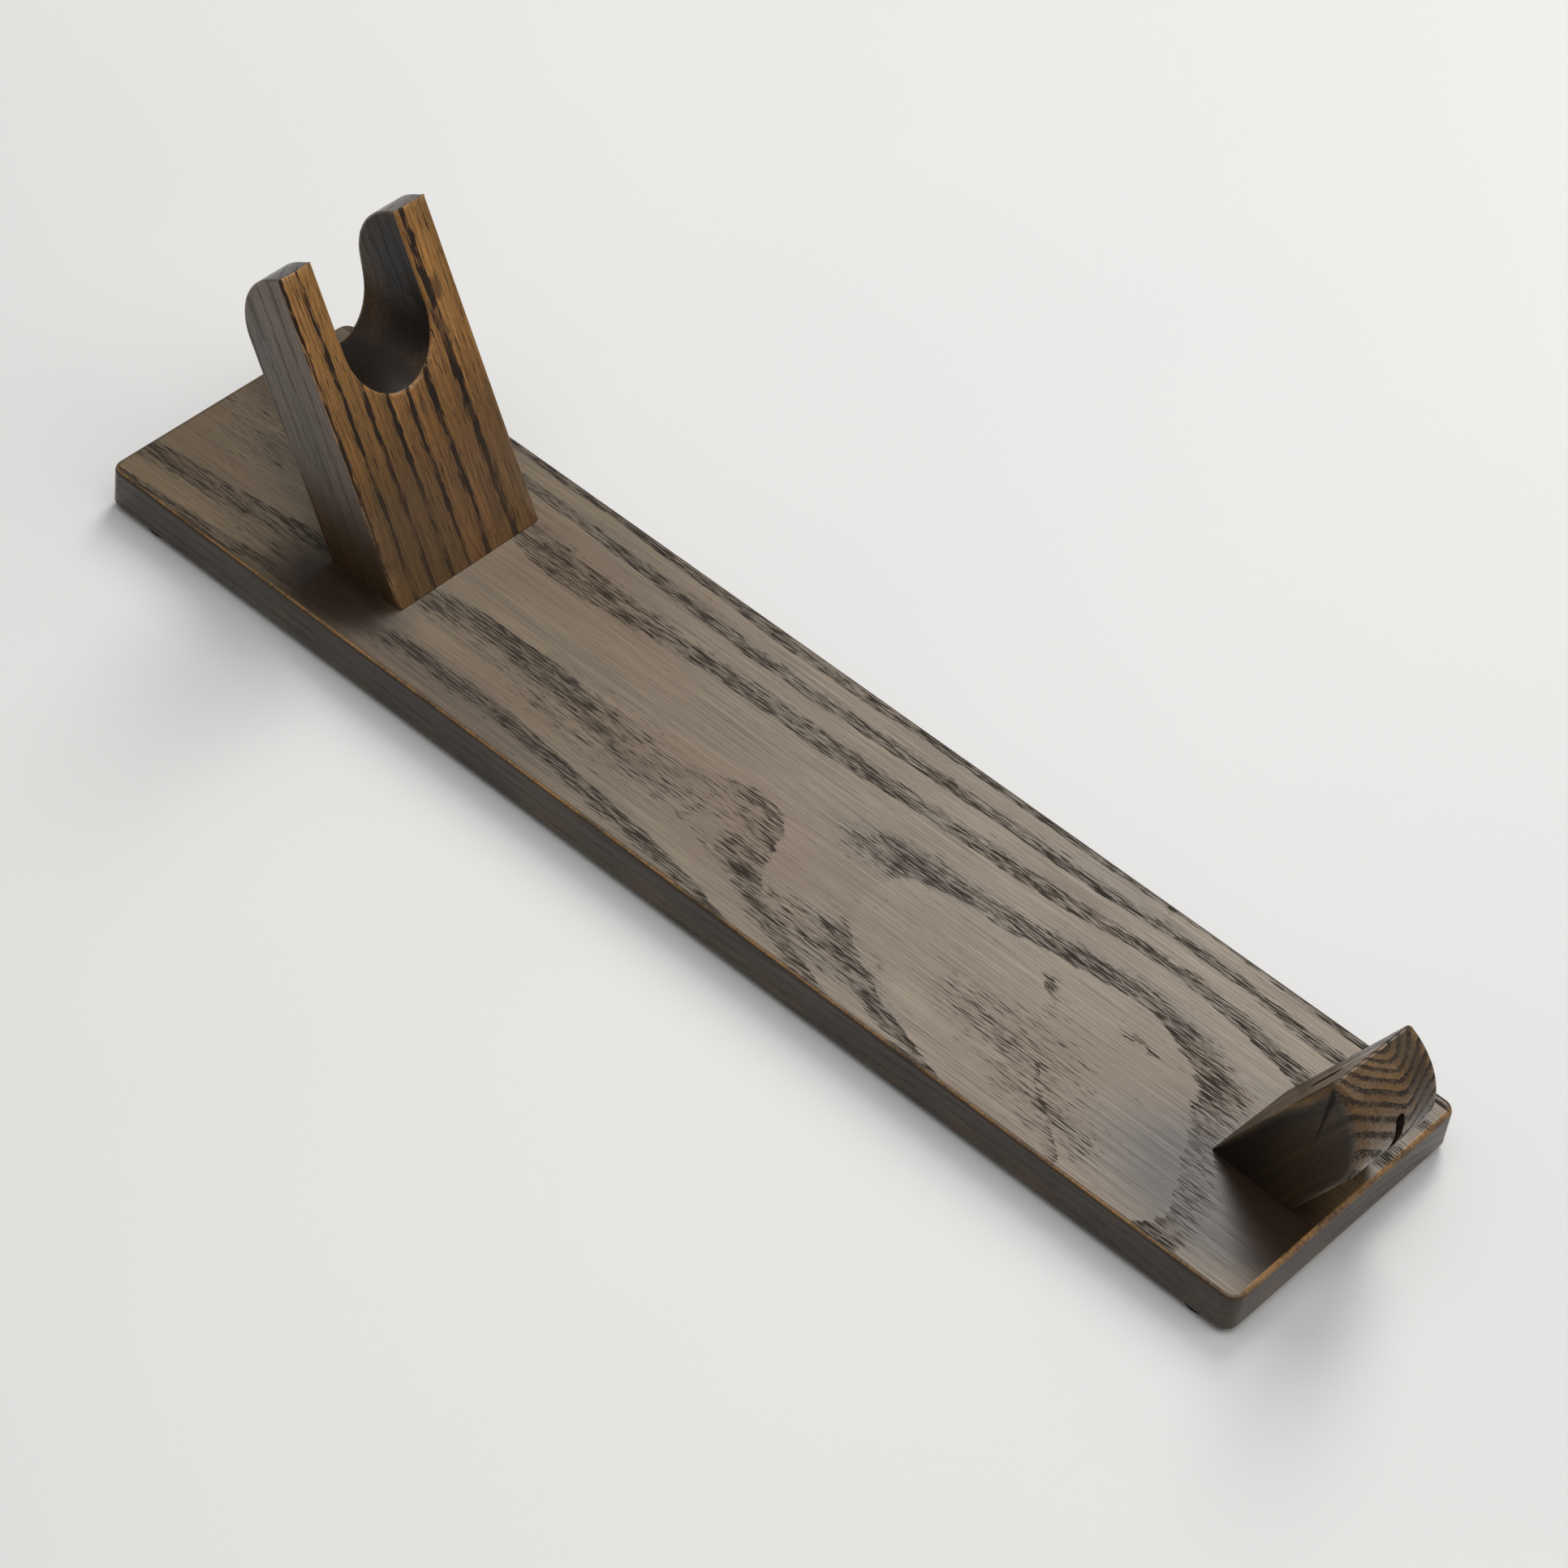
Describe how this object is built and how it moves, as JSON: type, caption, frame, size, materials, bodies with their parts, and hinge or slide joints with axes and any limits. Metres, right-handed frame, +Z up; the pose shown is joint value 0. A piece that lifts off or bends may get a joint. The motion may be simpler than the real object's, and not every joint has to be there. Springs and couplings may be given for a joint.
{
  "type": "display cradle",
  "caption": "Long stained-hardwood stand: a leaning upright with a U notch at one end and a leaning slotted stop block at the other, on rubber feet.",
  "frame": {"origin": "centre of the footprint, on the surface that the feet stand on", "axes": "+X along the board towards the stop block, +Z up, +Y across the board, to the left when looking along +X"},
  "size_m": [0.4072, 0.0922, 0.0988],
  "materials": {
    "board_wood": "grey-brown stained open-grain hardwood, satin",
    "cradle_wood": "warm brown stained open-grain hardwood, satin",
    "stop_wood": "dark brown stained open-grain hardwood, satin",
    "foot_rubber": "matte black rubber",
    "screw_steel": "yellow zinc-plated steel"
  },
  "bodies": {
    "root": {"base_board": "board_wood", "cradle_upright": "cradle_wood", "stop_block": "stop_wood", "foot_cradle_left": "foot_rubber", "foot_cradle_right": "foot_rubber", "foot_stop_left": "foot_rubber", "foot_stop_right": "foot_rubber", "screw_cradle_left": "screw_steel", "screw_cradle_right": "screw_steel", "screw_stop_left": "screw_steel", "screw_stop_right": "screw_steel"}
  },
  "joints": []
}
